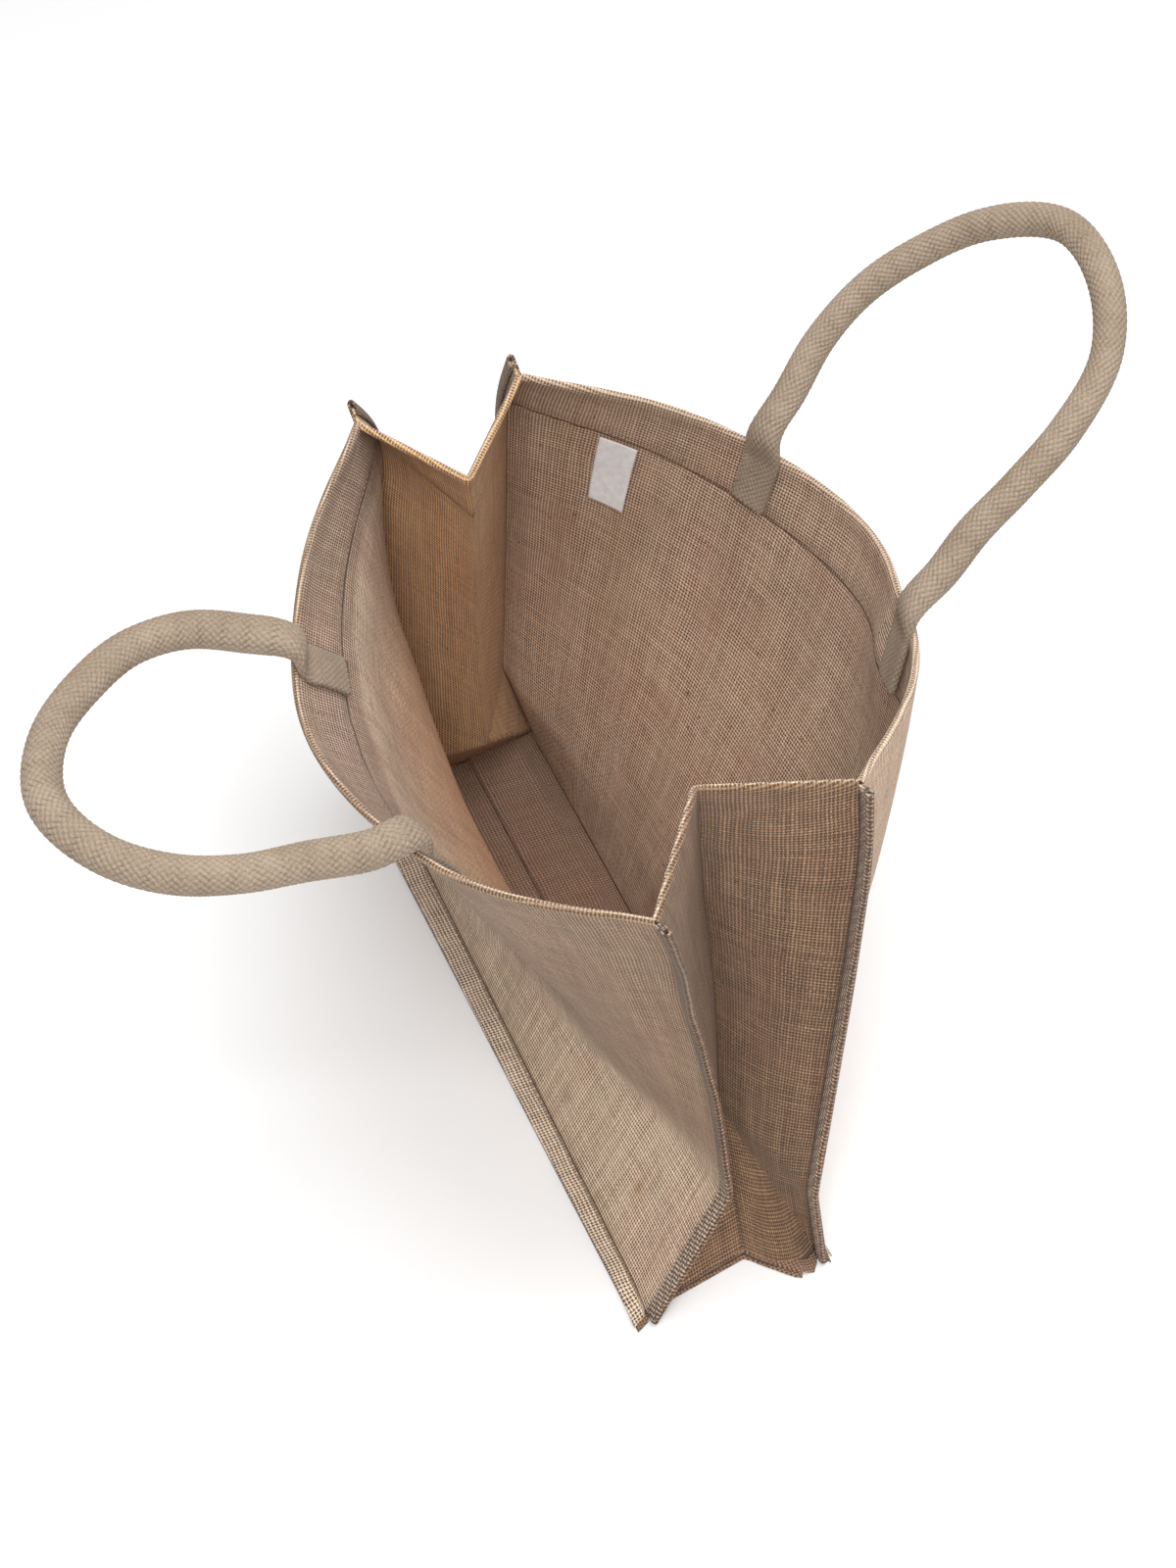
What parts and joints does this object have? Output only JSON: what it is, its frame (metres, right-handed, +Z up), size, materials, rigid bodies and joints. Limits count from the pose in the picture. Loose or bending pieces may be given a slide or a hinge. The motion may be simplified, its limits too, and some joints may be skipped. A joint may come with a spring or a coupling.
{
  "type": "jute shopping bag",
  "caption": "open upright jute shopping bag with folded side gussets, hemmed rim, pleated flat bottom, two rope handles and a bare sewn label",
  "frame": {"origin": "on the floor, in the middle of the bag's bottom: midway between its two long seams and about midway between its ends", "axes": "+Z up, X along the long bottom seams with +X towards the right gusset, +Y from the front panel towards the back panel"},
  "size_m": [0.4393, 0.5717, 0.472],
  "materials": {
    "jute": "matte",
    "webbing": "matte",
    "label": "matte"
  },
  "bodies": {
    "root": {"front_panel": "jute", "back_panel": "jute", "bottom_panel": "jute", "gusset_left": "jute", "gusset_right": "jute", "handle_front": "webbing", "handle_back": "webbing", "label": "label"}
  },
  "joints": []
}
